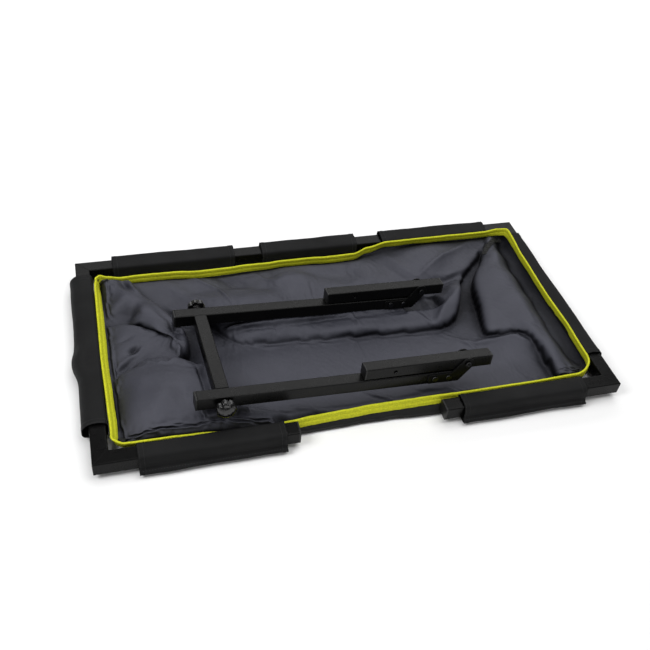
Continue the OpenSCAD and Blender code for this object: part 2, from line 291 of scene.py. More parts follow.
def dimmed(tree, colour, share):
    """A colour output scaled by a share."""
    n = node(tree, "ShaderNodeVectorMath", operation="SCALE")
    tree.links.new(colour, n.inputs[0])
    tree.links.new(share, n.inputs["Scale"])
    return n.outputs["Vector"]


def cloth(name, low, high, rough, weave, bump_mm, spec=0.3, crease=0.0, tint=(1, 1, 1),
          cloud=18, shade_reach=None):
    """A woven sheet. With crease it has soft dents of its own, and with a shade distance given, it
    gets painted shade in its colour and its specular tint where folds that near close it in."""
    mat, tree, shader = clear_material(name)
    at = coords(tree)
    patches = noise_node(tree, at, cloud, 4)
    colour = ramp(tree, patches, low, high)
    # Painted shade: ambient occlusion darkens the colour and the specular tint where folds close the cloth in.
    if shade_reach:
        unshaded_share = painted_fold_shade(tree, shade_reach, PAINTED_SHADE_BRIGHTNESS, 1.0)
        colour = dimmed(tree, colour, unshaded_share)
        tint_in_painted_shade = dimmed(tree, ramp(tree, patches, tint, tint), unshaded_share)
        tree.links.new(tint_in_painted_shade, shader.inputs["Specular Tint"])
    tree.links.new(colour, shader.inputs["Base Color"])
    tree.links.new(span(tree, noise_node(tree, at, 40, 3), *rough), shader.inputs["Roughness"])
    under = None
    if crease:
        under = bump(tree, shader, noise_node(tree, at, 28, 3, 0.55), crease, 0.004)
    bump(tree, shader, weave_height(tree, at, weave), 0.5, bump_mm * MM, under)
    shader.inputs["Specular IOR Level"].default_value = spec
    shader.inputs["Specular Tint"].default_value = (*tint, 1)
    return mat


def grey(level):
    return (level, level, level)


def make_materials():
    black_coat = (grey(0.0015), grey(0.0025))
    return {
        "frame_tube": powder_coat("frame_coat", *black_coat, spec=0.10),
        "leg_tube": powder_coat("leg_coat", *black_coat),
        "plate": powder_coat("plate_coat", grey(0.002), grey(0.003)),
        "inner_leg": powder_coat("inner_leg_coat", (0.02, 0.02, 0.021), (0.03, 0.03, 0.031)),
        "plug": plastic("plug_plastic", (0.003, 0.003, 0.0032), (0.34, 0.46), 0.3),
        "knob": plastic("knob_plastic", (0.002, 0.002, 0.0022), (0.06, 0.12), 1.0,
                        scale=260, edge=2.0, spec=0.55),
        "fastener": metal("fastener_steel", (0.05, 0.05, 0.052), (0.2, 0.3)),
        "stud": metal("stud_steel", (0.16, 0.16, 0.165), (0.25, 0.4)),
        # The inside cloth gets painted shade where its folds close it in, out to 70 mm.
        "inside": cloth("basin_inside", (0.0105, 0.0110, 0.0165), (0.0140, 0.0146, 0.0215),
                        (0.62, 0.70), 420, 0.03, spec=0.80, crease=0.16,
                        tint=(0.86, 0.87, 1.0), shade_reach=70 * MM),
        "outside": cloth("basin_outside", grey(0.004), grey(0.006), (0.5, 0.65), 420, 0.08,
                         spec=0.25),
        "sleeve": cloth("sleeve_cloth", (0.005, 0.0051, 0.0053), (0.008, 0.0081, 0.0084),
                        (0.6, 0.75), 420, 0.10, spec=0.14),
        "binding": cloth("binding_tape", (0.40, 0.42, 0.014), (0.62, 0.63, 0.026),
                         (0.65, 0.8), 230, 0.35, spec=0.15, cloud=420),
        "tape": cloth("seam_tape", grey(0.002), grey(0.004), (0.5, 0.65), 600, 0.2),
        "thread": cloth("thread", (0.02, 0.02, 0.021), (0.035, 0.035, 0.036), (0.5, 0.6), 1500, 0.1),
    }


def paint_cad(materials):
    """Gives every carried-over CAD node its detailed material by its record slot."""
    for sub in frame["record"]["subparts"]:
        mat = materials.get(sub["material_slot"])
        obj = frame["nodes"][sub["node"]]
        if mat is None:
            continue
        obj.data.materials.clear()
        obj.data.materials.append(mat)


# ---- mesh helpers ----

def new_piece(name, points, faces, material):
    mesh = bpy.data.meshes.new(name)
    mesh.from_pydata([tuple(map(float, p)) for p in points], [], faces)
    mesh.materials.append(material)
    mesh.validate()
    mesh.polygons.foreach_set("use_smooth", [True] * len(mesh.polygons))
    obj = bpy.data.objects.new(name, mesh)
    bpy.context.collection.objects.link(obj)
    return obj


def thicken(obj, thickness, offset=-1):
    """Gives a sheet its thickness: behind its points, or at offset 0 half on each side."""
    wall = obj.modifiers.new("thickness", "SOLIDIFY")
    wall.thickness = thickness
    wall.offset = offset
    return wall


def grid_faces(rows, cols, wrap_cols=False):
    faces = []
    for i in range(rows - 1):
        for j in range(cols if wrap_cols else cols - 1):
            j2 = (j + 1) % cols
            faces.append((i * cols + j, (i + 1) * cols + j, (i + 1) * cols + j2, i * cols + j2))
    return faces


def noise_over(points, scale_x, scale_y, layer):
    """Smooth noise at each point's place across the tray."""
    return np.array([noise.noise(Vector((p[0] * scale_x, p[1] * scale_y, layer))) for p in points])


def unit_rows(vectors):
    return vectors / np.linalg.norm(vectors, axis=1)[:, None]


def bell(x, width):
    """One where x is nothing, falling away to either side."""
    return np.exp(-(x / width) ** 2)


def lengths_between(points):
    """The distance from each point to the next one."""
    return np.linalg.norm(np.diff(points, axis=0), axis=1)


def loop_table(stations, s):
    """Smooth values at loop places s from given stations (place, value, value, ...)."""
    stations = sorted(stations)
    at = np.array([row[0] for row in stations])
    values = np.array([row[1:] for row in stations], float)
    at = np.concatenate([at - LOOP, at, at + LOOP])
    values = np.concatenate([values] * 3)
    i = np.clip(np.searchsorted(at, s, side="right") - 1, 0, len(at) - 2)
    f = ((s - at[i]) / (at[i + 1] - at[i]))[:, None]
    f = f * f * (3 - 2 * f)
    return values[i] * (1 - f) + values[i + 1] * f


# ---- the basin's mouth ----

RIM_X = BASIN_HI.x - 1 * MM
RIM_NEAR = BASIN_LO.y + 1 * MM
RIM_FAR = BASIN_HI.y - 1 * MM
RIM_CORNER = 20 * MM
BAND = 16 * MM
CLOTH_THICK = 0.5 * MM

# A place along the mouth counts one for each side, from its near left corner round by the right.
LOOP = 4.0
# The corners' radii: near left, near right, far right, far left.
RIM_CORNERS = np.array([20, 40, 20, 20]) * MM

# Along the mouth: the place, the height of the edge above the ground, how far it stands out of
# the plain rounded rectangle, and how far the binding's lower edge lies in from its upper one, the
# last three in millimetres.
RIM_STATIONS = [
    (0.00, 36, 2, 6), (0.04, 33, 1, 5), (0.10, 31, 0, 2), (0.16, 28.6, 0, 0), (0.20, 23.5, -1, 0),
    (0.30, 22, -1, -1), (0.335, 24, -1, -3), (0.38, 27.5, -1.5, -3.5), (0.44, 29.5, -2, -4),
    (0.50, 30, -4, -4), (0.60, 31, -3, -4), (0.70, 32, -1, -3), (0.85, 33, 0, 0), (0.95, 36, 0, 0),
    (1.00, 39, 0, 0), (1.05, 38, 1, -2), (1.12, 38, 1, -3), (1.30, 39, 3, -3), (1.50, 38, 2, -3),
    (1.80, 42, 2, -3), (1.94, 50, 1, -1), (1.99, 54, 1, 2), (2.02, 50, 0, 0), (2.06, 44, 2, -4),
    (2.20, 42, 4, -5), (2.31, 41.5, 4, -5), (2.36, 33.5, 2, -3), (2.395, 23, 0, -1), (2.46, 21, 1, -1),
    (2.51, 22.5, 1, -1), (2.57, 22.5, 1, -1), (2.61, 20.5, 1, -1), (2.66, 23.5, -2, 0),
    (2.70, 22, -3, 0), (2.77, 19.5, -1, 0), (2.83, 22.5, 0, 0), (2.90, 22.5, 1, 0),
    (2.945, 22, 0, 0), (2.97, 28, -2, 2), (3.00, 33, 3, 4),
    (3.03, 30, 0, 6), (3.10, 30, 1, 8.5), (3.30, 30, 2, 9.5), (3.50, 31, 3, 10), (3.80, 31, 1, 10),
    (3.94, 33, 0, 9), (3.98, 36, 2, 7),
]


def rounded_loop(s):
    """The plain rounded rectangle at loop places s, and its inward direction."""
    s = np.mod(s, LOOP)
    side = np.floor(s).astype(int) % 4
    f = s - np.floor(s)
    corners = np.array([[-RIM_X, RIM_NEAR], [RIM_X, RIM_NEAR], [RIM_X, RIM_FAR], [-RIM_X, RIM_FAR]])
    start, end = corners[side], corners[(side + 1) % 4]
    along = end - start
    length = np.linalg.norm(along, axis=1)
    along = along / length[:, None]
    inward = np.stack([-along[:, 1], along[:, 0]], 1)
    run = f * length
    point = start + along * run[:, None]
    for near_start in (True, False):
        r = RIM_CORNERS[side if near_start else (side + 1) % 4]
        q = run if near_start else length - run
        turn = np.clip(1 - q / r, 0, 1) * math.pi / 4
        sign = 1.0 if near_start else -1.0
        base = (start if near_start else end) + along * (sign * r)[:, None]
        centre = base + inward * r[:, None]
        arc = centre - along * (sign * r * np.sin(turn))[:, None] - inward * (r * np.cos(turn))[:, None]
        use = (q < r)[:, None]
        point = np.where(use, arc, point)
    return point, inward


def rim_line(s):
    """The mouth's edge as points (x, y, z) at loop places s."""
    plan, inward = rounded_loop(s)
    height, out, _ = (loop_table(RIM_STATIONS, np.mod(s, LOOP)) * MM).T
    plan = plan - inward * out[:, None]
    return np.column_stack([plan, height])


def band_foot(s):
    """The binding's lower edge at loop places s."""
    top = rim_line(s)
    _, inward = rounded_loop(s)
    lean = loop_table(RIM_STATIONS, np.mod(s, LOOP))[:, 2] * MM
    drop = np.sqrt(BAND ** 2 - lean ** 2)
    return np.column_stack([top[:, :2] + inward * lean[:, None], top[:, 2] - drop])


# ---- the slack basin ----

CELL = 3.2 * MM
TURN_IN = 22 * MM
LIE_AT = 1 * MM

# The slack cloth, in millimetres: its heights at places on the ground, and the folds over them
# from the lowest up. Each fold has an outline across the tray, heights at places on it, and the
# radius of its edge.
FLOOR = [
    (-240, -40, 2), (-200, -60, 2), (-100, -60, 2), (0, -60, 2), (100, -60, 2), (190, -45, 3),
    (-150, -110, 4), (0, -110, 4), (120, -112, 5), (217, -61, 5), (240, -30, 2), (262, -10, 1.5),
    (256, 30, 1.5), (262, 64, 4), (278, -80, 12), (316, -98, 24), (280, -112, 15),
    (230, -120, 7), (-100, -150, 9), (0, -150, 6), (100, -150, 7), (200, -150, 13),
    (300, -150, 10), (350, -150, 12), (-190, -188, 16), (-100, -186, 11), (0, -186, 9),
    (100, -186, 10), (200, -190, 15), (330, -190, 12), (-400, 0, 14),
    (-300, 0, 4), (-400, 180, 18), (-400, -180, 18), (-200, 190, 12), (0, 190, 12),
    (200, 190, 14), (400, 190, 20), (0, 60, 2), (300, 60, 2), (400, -100, 14),
]
FOLDS = {
    "far": ([
        (-205, 34), (-193, 15), (-174, -1), (-130, -5), (-90, -6), (-21, -12), (37, -15), (113, -20),
        (166, -23), (190, -22), (214, -16), (234, 3), (246, 28), (258, 56), (284, 104), (392, 190),
        (430, 240), (-430, 240), (-400, 170), (-330, 150), (-282, 80), (-232, 52),
    ], [
        (-180, 22, 17), (-90, 10, 17), (0, 4, 17), (100, -3, 17), (180, -6, 18), (-190, 45, 20),
        (-80, 42, 23), (50, 32, 23), (150, 25, 24), (206, 8, 30), (222, 28, 35), (232, 56, 34),
        (-200, 96, 28), (-150, 94, 31), (-100, 92, 29), (-150, 66, 29), (-60, 84, 16), (0, 84, 8),
        (100, 80, 7), (180, 74, 9), (226, 66, 12), (-300, 180, 9), (-200, 182, 7), (-100, 182, 7),
        (0, 182, 14), (100, 182, 15), (180, 196, 24), (250, 198, 30), (350, 200, 34), (-260, 120, 10),
        (-230, 150, 6), (-170, 166, 2), (-110, 166, 2), (-180, 140, 9), (-130, 140, 9),
        (-150, 116, 21), (-100, 116, 20), (-100, 140, 9), (-60, 148, 19), (-30, 128, 22),
        (0, 135, 15), (60, 150, 9), (100, 135, 17), (140, 150, 13), (190, 140, 24), (250, 150, 30),
        (300, 158, 24), (262, 100, 16), (340, 178, 26), (220, 108, 20),
    ], 13),
    "right": ([
        (384, 204), (362, 184), (345, 150), (327, 118), (303, 92), (288, 60), (281, 24), (276, -4),
        (268, -36), (262, -56), (272, -68), (296, -69), (316, -72), (328, -82), (333, -100),
        (338, -126), (341, -155), (344, -190), (346, -240), (450, -240), (450, 240), (390, 240),
    ], [
        (296, 30, 35), (288, -10, 34), (278, -44, 31), (302, 72, 35), (322, 100, 35),
        (340, 130, 32), (358, 165, 36), (300, -58, 32), (322, -66, 38), (336, -84, 42),
        (360, 130, 42), (344, 80, 43), (335, 23, 43), (334, -46, 44), (342, -117, 44),
        (350, -150, 42), (356, -182, 34), (374, 170, 38), (366, 60, 37), (365, 0, 37),
        (365, -60, 36), (367, -120, 34), (380, 100, 20), (381, 40, 20), (382, -20, 19),
        (382, -80, 18), (384, -140, 18), (392, 165, 14), (394, 100, 6), (395, 40, 5),
        (395, -20, 5), (395, -80, 5), (395, -140, 7), (404, -175, 16), (398, 190, 30),
    ], 15),
    "second": ([
        (-440, 80), (-400, 74), (-362, 62), (-330, 44), (-300, 20), (-286, -4), (-280, -30),
        (-300, -52), (-330, -46), (-352, -30), (-382, -48), (-402, -66), (-440, -70),
    ], [
        (-396, 34, 20), (-378, 38, 28), (-363, 42, 31), (-343, 34, 32), (-328, 20, 32),
        (-305, -8, 31), (-370, 2, 27), (-390, -20, 22), (-345, 0, 28), (-320, -16, 29),
        (-404, 0, 19), (-404, -45, 20), (-352, -12, 22), (-374, -36, 20),
    ], 10),
    "diagonal": ([
        (-440, 240), (-352, 240), (-346, 186), (-338, 160), (-330, 137), (-314, 112), (-298, 88),
        (-281, 54), (-267, 28), (-264, 2), (-270, -24), (-282, -40), (-293, -34), (-297, -12),
        (-300, 8), (-311, 28), (-330, 48), (-346, 60), (-366, 64), (-386, 70), (-402, 76),
        (-440, 80),
    ], [
        (-392, 168, 34), (-362, 118, 41), (-340, 80, 42), (-316, 41, 43), (-286, 6, 43),
        (-278, -24, 34), (-345, 165, 26), (-325, 120, 30), (-300, 72, 34), (-276, 24, 34),
        (-348, 74, 30), (-352, 84, 20), (-370, 76, 16), (-384, 82, 15), (-332, 58, 38),
        (-308, 24, 40), (-404, 120, 22), (-402, 180, 34), (-388, 128, 26), (-378, 108, 30),
    ], 11),
    "near": ([
        (-440, -60), (-398, -60), (-381, -52), (-361, -46), (-350, -35), (-334, -26), (-312, -33),
        (-295, -42), (-272, -52), (-252, -66), (-236, -92), (-224, -124), (-196, -152),
        (-140, -172), (-90, -186), (-70, -240), (-440, -240),
    ], [
        (-404, -80, 20), (-392, -95, 22), (-396, -130, 20), (-372, -70, 36), (-350, -56, 38),
        (-330, -42, 38), (-300, -56, 44), (-268, -72, 44), (-341, -90, 46), (-323, -124, 52),
        (-300, -90, 50), (-292, -146, 47), (-262, -120, 52), (-250, -158, 48), (-376, -130, 36),
        (-380, -180, 25), (-330, -168, 42), (-280, -188, 32), (-225, -150, 40), (-220, -188, 26),
        (-150, -190, 18), (-170, -172, 26), (-110, -190, 16), (-360, -100, 44),
    ], 15),
}

# Wrinkles over the folds: path across the tray in millimetres, height, half width, and whether
# its ridge is sharp. A negative height is a valley.
WRINKLES = [
    (((-396, -46), (-381, -32), (-365, -18), (-356, -9), (-345, -1)), 13, 5, True),
    (((-392, -46), (-376, -32), (-360, -16)), -11, 5, False),
    (((-364, -8), (-351, 0)), -12, 5, False),
    (((-396, -60), (-376, -46), (-351, -34), (-328, -24)), 9, 5, True),
    (((-380, 19), (-370, 23), (-357, 30)), -4, 5, True),
    (((-399, 127), (-391, 116), (-380, 124), (-366, 108)), -4, 7, True),
    (((-350, 178), (-345, 150), (-334, 132)), 9, 6, True),
    (((-362, 182), (-356, 160), (-346, 140)), -10, 7, False),
    (((-390, -70), (-350, -84), (-310, -88)), 3, 16, False),
    (((-281, -165), (-289, -146), (-294, -105)), -7, 13, False),
    (((-330, -190), (-336, -150), (-320, -110)), 4, 14, False),
    (((-196, 186), (-138, 146), (-100, 128)), -8, 14, False),
    (((-180, 130), (-129, 140), (-60, 150)), 6, 12, False),
    (((-230, 180), (-190, 140), (-180, 100)), 6, 10, True),
    (((-120, 182), (-84, 140), (-14, 148)), 4, 10, True),
    (((-60, 184), (0, 156), (70, 150)), -5, 16, False),
    (((-20, 120), (60, 112), (140, 122)), 4, 14, False),
    (((-290, 176), (-250, 130), (-215, 96)), 5, 16, False),
    (((140, 190), (178, 120), (200, 92)), 5, 13, False),
    (((196, 112), (257, 150), (340, 186)), 8, 10, True),
    (((225, 96), (280, 112), (318, 124)), 6, 9, True),
    (((210, 88), (262, 96), (300, 118)), -6, 9, False),
    (((152, 8), (172, -16), (176, -24)), 4, 6, True),
    (((180, -22), (204, 8), (246, 40)), 7, 7, True),
    (((196, -20), (226, 2), (260, 30)), -5, 6, False),
    (((244, 2), (262, 14), (272, 34)), 5, 6, True),
    (((-60, -8), (0, 2), (60, -6)), 2, 10, False),
    (((-150, 6), (-110, 20), (-40, 12)), 2, 10, False),
    (((210, -56), (238, -72), (300, -80), (331, -104)), 11, 9, True),
    (((206, -50), (222, -66), (232, -84)), 5, 6, True),
    (((300, -180), (262, -130), (200, -100)), 3, 18, False),
    (((30, -17), (29, -50), (25, -96)), 1.2, 3, True),
    (((60, -196), (40, -170), (10, -150)), 5, 10, True),
    (((170, -196), (150, -172), (96, -160)), 5, 10, True),
    (((-70, -196), (-90, -172), (-130, -160)), 6, 12, True),
    (((-180, -70), (-100, -60), (-20, -74)), 2, 16, False),
    (((60, -66), (130, -56), (200, -66)), 2, 14, False),
    (((372, 60), (350, 10), (352, -60)), 3, 12, False),
    (((352, 60), (330, 10), (310, -10)), 2, 14, False),
    (((366, -60), (358, -120), (370, -170)), 3, 9, False),
]


def path_distance(plan, path, closed=False):
    """Distance from each plan point to a polyline, the share of the way along it, and the
    direction to its nearest place."""
    path = np.asarray(path, float)
    ends = np.roll(path, -1, 0) if closed else path[1:]
    starts = path if closed else path[:-1]
    lengths = np.linalg.norm(ends - starts, axis=1)
    best = np.full(len(plan), 9e9)
    place = np.zeros(len(plan))
    toward = np.zeros((len(plan), 2))
    done = 0.0
    for start, end, length in zip(starts, ends, lengths):
        way = (end - start) / length
        rel = plan - start
        run = np.clip(rel @ way, 0, length)
        offset = np.outer(run, way) - rel
        away = np.linalg.norm(offset, axis=1)
        closer = away < best
        best[closer] = away[closer]
        place[closer] = (done + run[closer]) / lengths.sum()
        toward[closer] = offset[closer]
        done += length
    return best, place, toward / np.maximum(best, 1e-9)[:, None]


def rounded(path, passes=2):
    """A closed outline with its corners cut smooth."""
    path = np.asarray(path, float)
    for _ in range(passes):
        ahead = np.roll(path, -1, 0)
        path = np.stack([0.75 * path + 0.25 * ahead, 0.25 * path + 0.75 * ahead], 1).reshape(-1, 2)
    return path


def inside_outline(plan, path):
    hit = np.zeros(len(plan), bool)
    for (x0, y0), (x1, y1) in zip(path, np.roll(path, -1, 0)):
        spans = (y0 > plan[:, 1]) != (y1 > plan[:, 1])
        cross = x0 + (plan[:, 1] - y0) / (y1 - y0 if y1 != y0 else 1e-9) * (x1 - x0)
        hit ^= spans & (plan[:, 0] < cross)
    return hit


def spread_heights(plan, places, unit=100, ease=0.002):
    """A smooth surface through heights at places, as a thin plate would lie. Lengths are counted
    in units, and ease lets the plate miss the places a little."""
    places = np.asarray(places, float)

    def kernel(a, b):
        r2 = ((a[:, None] - b[None]) ** 2).sum(2) / unit ** 2
        return r2 * np.log(np.maximum(r2, 1e-12))

    n = len(places)
    xy = places[:, :2]
    flat = np.column_stack([np.ones(n), xy / unit])
    left = np.block([[kernel(xy, xy) + ease * np.eye(n), flat], [flat.T, np.zeros((3, 3))]])
    solved = np.linalg.solve(left, np.concatenate([places[:, 2], np.zeros(3)]))
    base = np.column_stack([np.ones(len(plan)), plan / unit]) @ solved[n:]
    return kernel(plan, xy) @ solved[:n] + base


# How the edge of a fold lies on what is under it, in millimetres: the width it comes in over, the
# step down at which it rolls over fully, how far it then leans out, and how fast that fades.
EDGE_BLEND, FULL_STEP, EDGE_LEAN, LEAN_FADE = 5, 14, 5.5, 8.0
LOWEST = 1.5


def fold_surface(plan):
    """Heights of the layered folds over plan points, and how far each edge rolls over."""
    height = spread_heights(plan, FLOOR)
    height = np.maximum(height, LOWEST)
    roll = np.zeros((len(plan), 2))
    for outline, places, edge in FOLDS.values():
        outline = rounded(outline)
        away, _, toward = path_distance(plan, outline, closed=True)
        inner = inside_outline(plan, outline)
        depth = np.where(inner, away, -away)
        layer = spread_heights(plan, places)
        bend = np.clip(edge - np.maximum(depth, 0), 0, edge)
        layer_top = layer - (edge - np.sqrt(np.maximum(edge ** 2 - bend ** 2, 0)))
        share = np.clip(0.5 + depth / EDGE_BLEND, 0, 1)
        won = (share > 0) & (layer_top > height)
        step = np.clip((layer - edge / 2 - height) / FULL_STEP, 0, 1)
        outward = toward * np.sign(depth)[:, None]
        reach = EDGE_LEAN * step * bell(away, LEAN_FADE) * np.where(inner & ~won, 0, 1)
        roll += outward * (reach * np.where(inner, 1.0, -0.8))[:, None]
        height = np.where(won, height + (layer_top - height) * share, height)
    return height, roll


def wrinkle_lift(plan):
    """How much the wrinkles raise or lower each plan point, in millimetres."""
    lift = np.zeros(len(plan))
    for path, height, width, sharp in WRINKLES:
        away, place, _ = path_distance(plan, path)
        form = np.exp(-1.2 * (away / width)) if sharp else bell(away, width)
        ends = np.sin(math.pi * np.clip(0.06 + 0.88 * place, 0, 1)) ** 0.7
        lift += height * form * ends
    return lift


# Where the leg set presses on the cloth, from the place of the near knob: along the legs from the
# foot end, in from a knob to the middle of its leg tube, and the strips' half widths.
LEG_FROM, LEG_TO = -62 * MM, 450 * MM
LEG_IN, LEG_STRIP, BAR_STRIP = 18 * MM, 20 * MM, 30 * MM
PAST_KNOB = 34 * MM
UNDER_LEG, UNDER_KNOB = -13.5 * MM, -18.5 * MM

# The room round the sweep of a rail's heel: half its width, how far it starts before the pivot,
# and what is left free.
HEEL_STRIP, HEEL_FROM, HEEL_ROOM = 20 * MM, -26 * MM, 3 * MM


def leg_axes():
    """The leg set's own directions: along the legs, across them, and up."""
    across = Vector(JOINTS["rail_near_fold"]["axis"])
    along = -Vector(JOINTS["foot_near_extend"]["axis"])
    return along, across, along.cross(across)


def under_legs(points):
    """Presses the cloth down where the leg set lies on it."""
    knob = Vector(JOINTS["knob_near_turn"]["pos_m"])
    x, y, z = ((points - np.array(knob)) @ np.array(way) for way in leg_axes())
    width = (Vector(JOINTS["knob_far_turn"]["pos_m"]) - knob).length
    by_bar = np.abs(x) < BAR_STRIP
    by_leg = (np.abs(y - LEG_IN) < LEG_STRIP) | (np.abs(y - width + LEG_IN) < LEG_STRIP)
    inside = (x > LEG_FROM) & (x < LEG_TO) & by_leg
    inside |= by_bar & (y > -PAST_KNOB) & (y < width + PAST_KNOB)
    limit = np.where(by_bar & ((y < 0) | (y > width)), UNDER_KNOB, UNDER_LEG)
    over = np.where(inside, np.maximum(z - limit, 0), 0)
    return points - np.outer(over, np.array(leg_axes()[2]))


def under_rails(points):
    """Keeps the cloth clear of the heel of each rail as it swings down about its pivot."""
    for side in ("near", "far"):
        pivot = Vector(JOINTS["rail_" + side + "_fold"]["pos_m"])
        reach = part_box("rail_heel_plug_" + side)[1].x - pivot.x + HEEL_ROOM
        x, y, _ = ((points - np.array(pivot)) @ np.array(way) for way in leg_axes())
        wall = np.clip((HEEL_STRIP - np.abs(y)) / (5 * MM), 0, 1)
        wall *= np.clip((x - HEEL_FROM) / (6 * MM), 0, 1) * np.clip((reach - x) / (4 * MM), 0, 1)
        level = pivot.z - np.sqrt(np.maximum(reach ** 2 - np.maximum(x, 0) ** 2, 0)) - 1 * MM
        over = np.maximum(points[:, 2] - np.maximum(level, 1.2 * MM), 0)
        points = points - np.outer(over * wall, [0, 0, 1])
    return points


def corner_square(plan):
    """Bends the corners of the cloth's grid round to the mouth's corners."""
    centre = np.array([RIM_X, (RIM_FAR - RIM_NEAR) / 2]) - RIM_CORNER
    middle = np.array([0, (RIM_FAR + RIM_NEAR) / 2])
    rel = plan - middle
    sign = np.sign(rel)
    part = (np.abs(rel) - centre) / RIM_CORNER
    both = (part > 0).all(1)
    u, v = np.clip(part, 0, 1).T
    disc = np.column_stack([u * np.sqrt(1 - v * v / 2), v * np.sqrt(1 - u * u / 2)])
    return np.where(both[:, None], middle + sign * (centre + disc * RIM_CORNER), plan)


def loop_place(plan):
    """The loop place of points on the mouth's plain outline."""
    x, y = plan.T
    near, right = y - RIM_NEAR, RIM_X - x
    far, left = RIM_FAR - y, x + RIM_X
    side = np.argmin(np.stack([near, right, far, left]), 0)
    run_x = left / (2 * RIM_X)
    run_y = near / (RIM_FAR - RIM_NEAR)
    return np.choose(side, [run_x, 1 + run_y, 2 + 1 - run_x, 3 + 1 - run_y])


def smooth_grid(points, rows, cols, passes, weight):
    """Evens out a grid of points, keeping its edge."""
    grid = points.reshape(rows, cols, 3).copy()
    for _ in range(passes):
        mean = (grid[:-2, 1:-1] + grid[2:, 1:-1] + grid[1:-1, :-2] + grid[1:-1, 2:]) / 4
        grid[1:-1, 1:-1] += weight * (mean - grid[1:-1, 1:-1])
    return grid.reshape(-1, 3)


# The cloth that hangs in the near gap, by its share of the way in from the mouth's edge: how far
# it stands out of the mouth, in millimetres, and its height as a share of the edge's.
HANG_OUT = ([0, 0.2, 0.4, 0.52, 0.64, 0.8, 1], [0, -4.5, -8, -8.6, -4, 7, 22])
HANG_HEIGHT = ([0, 0.2, 0.4, 0.52, 0.64, 1], [1, 0.62, 0.27, 0.11, 0.08, 0.08])
RISE_FROM = 0.64


def turn_under(points, plan, foot):
    """In the gap of the near side the cloth hangs to the ground outside, then turns under."""
    share = (plan[:, 1] - RIM_NEAR) / TURN_IN
    inner = np.minimum(plan[:, 0] - STUB_LEFT[0].x, STUB_RIGHT[1].x - plan[:, 0])
    here = np.clip((inner + 22 * MM) / (20 * MM), 0, 1) * (share < 1)
    at = np.clip(share, 0, 1)
    out = np.interp(at, *HANG_OUT) * MM
    fuller = 0.5 * np.clip((plan[:, 0] - 40 * MM) / (60 * MM), 0, 1)
    out *= 1 + fuller * (out < 0)
    drop = np.interp(at, *HANG_HEIGHT)
    rise = np.clip((at - RISE_FROM) / (1 - RISE_FROM), 0, 1) ** 2
    wave = noise_over(plan, 22, 9, 8.2)
    y = foot[:, 1] * (1 - at) + RIM_NEAR * at + out + wave * 1.6 * MM * np.sin(math.pi * at)
    z = foot[:, 2] * drop * (1 - rise) + points[:, 2] * rise
    made = points.copy()
    made[:, 1] += (y - made[:, 1]) * here
    made[:, 2] += (z - made[:, 2]) * here
    return made


def basin_mesh():
    """Points and faces: the folded cloth, and its edge standing up into the binding."""
    cols = int(round(2 * RIM_X / CELL)) + 1
    turn = np.linspace(0, TURN_IN, 15)[:-1]
    rest = int(round((RIM_FAR - RIM_NEAR - TURN_IN) / CELL)) + 1
    lines = np.concatenate([RIM_NEAR + turn, np.linspace(RIM_NEAR + TURN_IN, RIM_FAR, rest)])
    rows = len(lines)
    x, y = np.meshgrid(np.linspace(-RIM_X, RIM_X, cols), lines)
    plain = np.column_stack([x.ravel(), y.ravel()])
    plan = corner_square(plain)
    height, roll = fold_surface(plan / MM)
    lift = wrinkle_lift(plan / MM)
    height += lift * np.clip((height - 0.5) / 6, 0.4, 1)
    depth = np.min(np.stack([RIM_X - np.abs(plan[:, 0]), plan[:, 1] - RIM_NEAR,
                             RIM_FAR - plan[:, 1]]), 0)
    fade = np.clip(depth / (14 * MM), 0, 1)
    points = np.column_stack([plan + roll * MM * fade[:, None], height * MM])
    wobble = np.array([noise.noise_vector(Vector((p[0] * 15, p[1] * 15, 3.7))) for p in points])
    points += wobble * np.array([1.5, 1.5, 1.6]) * MM * fade[:, None]

    edge = loop_indices(rows, cols)
    place = loop_place(plan[edge])
    rim = rim_line(place)
    foot = band_foot(place)
    shift = np.zeros((len(points), 2))
    shift[edge] = foot[:, :2] - plan[edge]
    near_edge = nearest_edge(rows, cols)
    pull = bell(depth, 16 * MM)[:, None]
    points[:, :2] += shift[edge][near_edge] * pull
    mix = bell(depth, 5.5 * MM)
    points[:, 2] = points[:, 2] * (1 - mix) + (foot[near_edge, 2] - 3 * MM) * mix
    points = smooth_grid(points, rows, cols, 2, 0.4)
    points = turn_under(points, plan, foot[near_edge])
    points = under_rails(under_legs(points))
    points[:, 2] = np.maximum(points[:, 2], LIE_AT)
    points[edge] = foot - np.array([0, 0, LIE_AT])

    faces = [f[::-1] for f in grid_faces(rows, cols)]
    inner = edge
    count = len(points)
    rings = [points]
    for k in range(1, 4):
        ring = foot + (rim - foot) * (k / 3 * 0.97)
        rings.append(ring)
        outer = np.arange(count, count + len(edge))
        faces += np.column_stack([np.roll(inner, -1), inner, outer, np.roll(outer, -1)]).tolist()
        count += len(edge)
        inner = outer
    return np.concatenate(rings), faces, rows * cols


def loop_indices(rows, cols):
    """The grid's edge as one loop, from its near left corner round by the right."""
    near = np.arange(cols)
    right = np.arange(1, rows) * cols + cols - 1
    far = (rows - 1) * cols + np.arange(cols - 2, -1, -1)
    left = np.arange(rows - 2, 0, -1) * cols
    return np.concatenate([near, right, far, left])


def nearest_edge(rows, cols):
    """For each grid point, the place in the edge loop of the nearest edge point."""
    i, j = np.divmod(np.arange(rows * cols), cols)
    near, right, far, left = i, cols - 1 - j, rows - 1 - i, j
    side = np.argmin(np.stack([near, right, far, left]), 0)
    total = 2 * (rows + cols) - 4
    options = [j, cols - 1 + i, cols + rows - 2 + (cols - 1 - j),
               2 * cols + rows - 3 + (rows - 1 - i)]
    return np.choose(side, options) % total


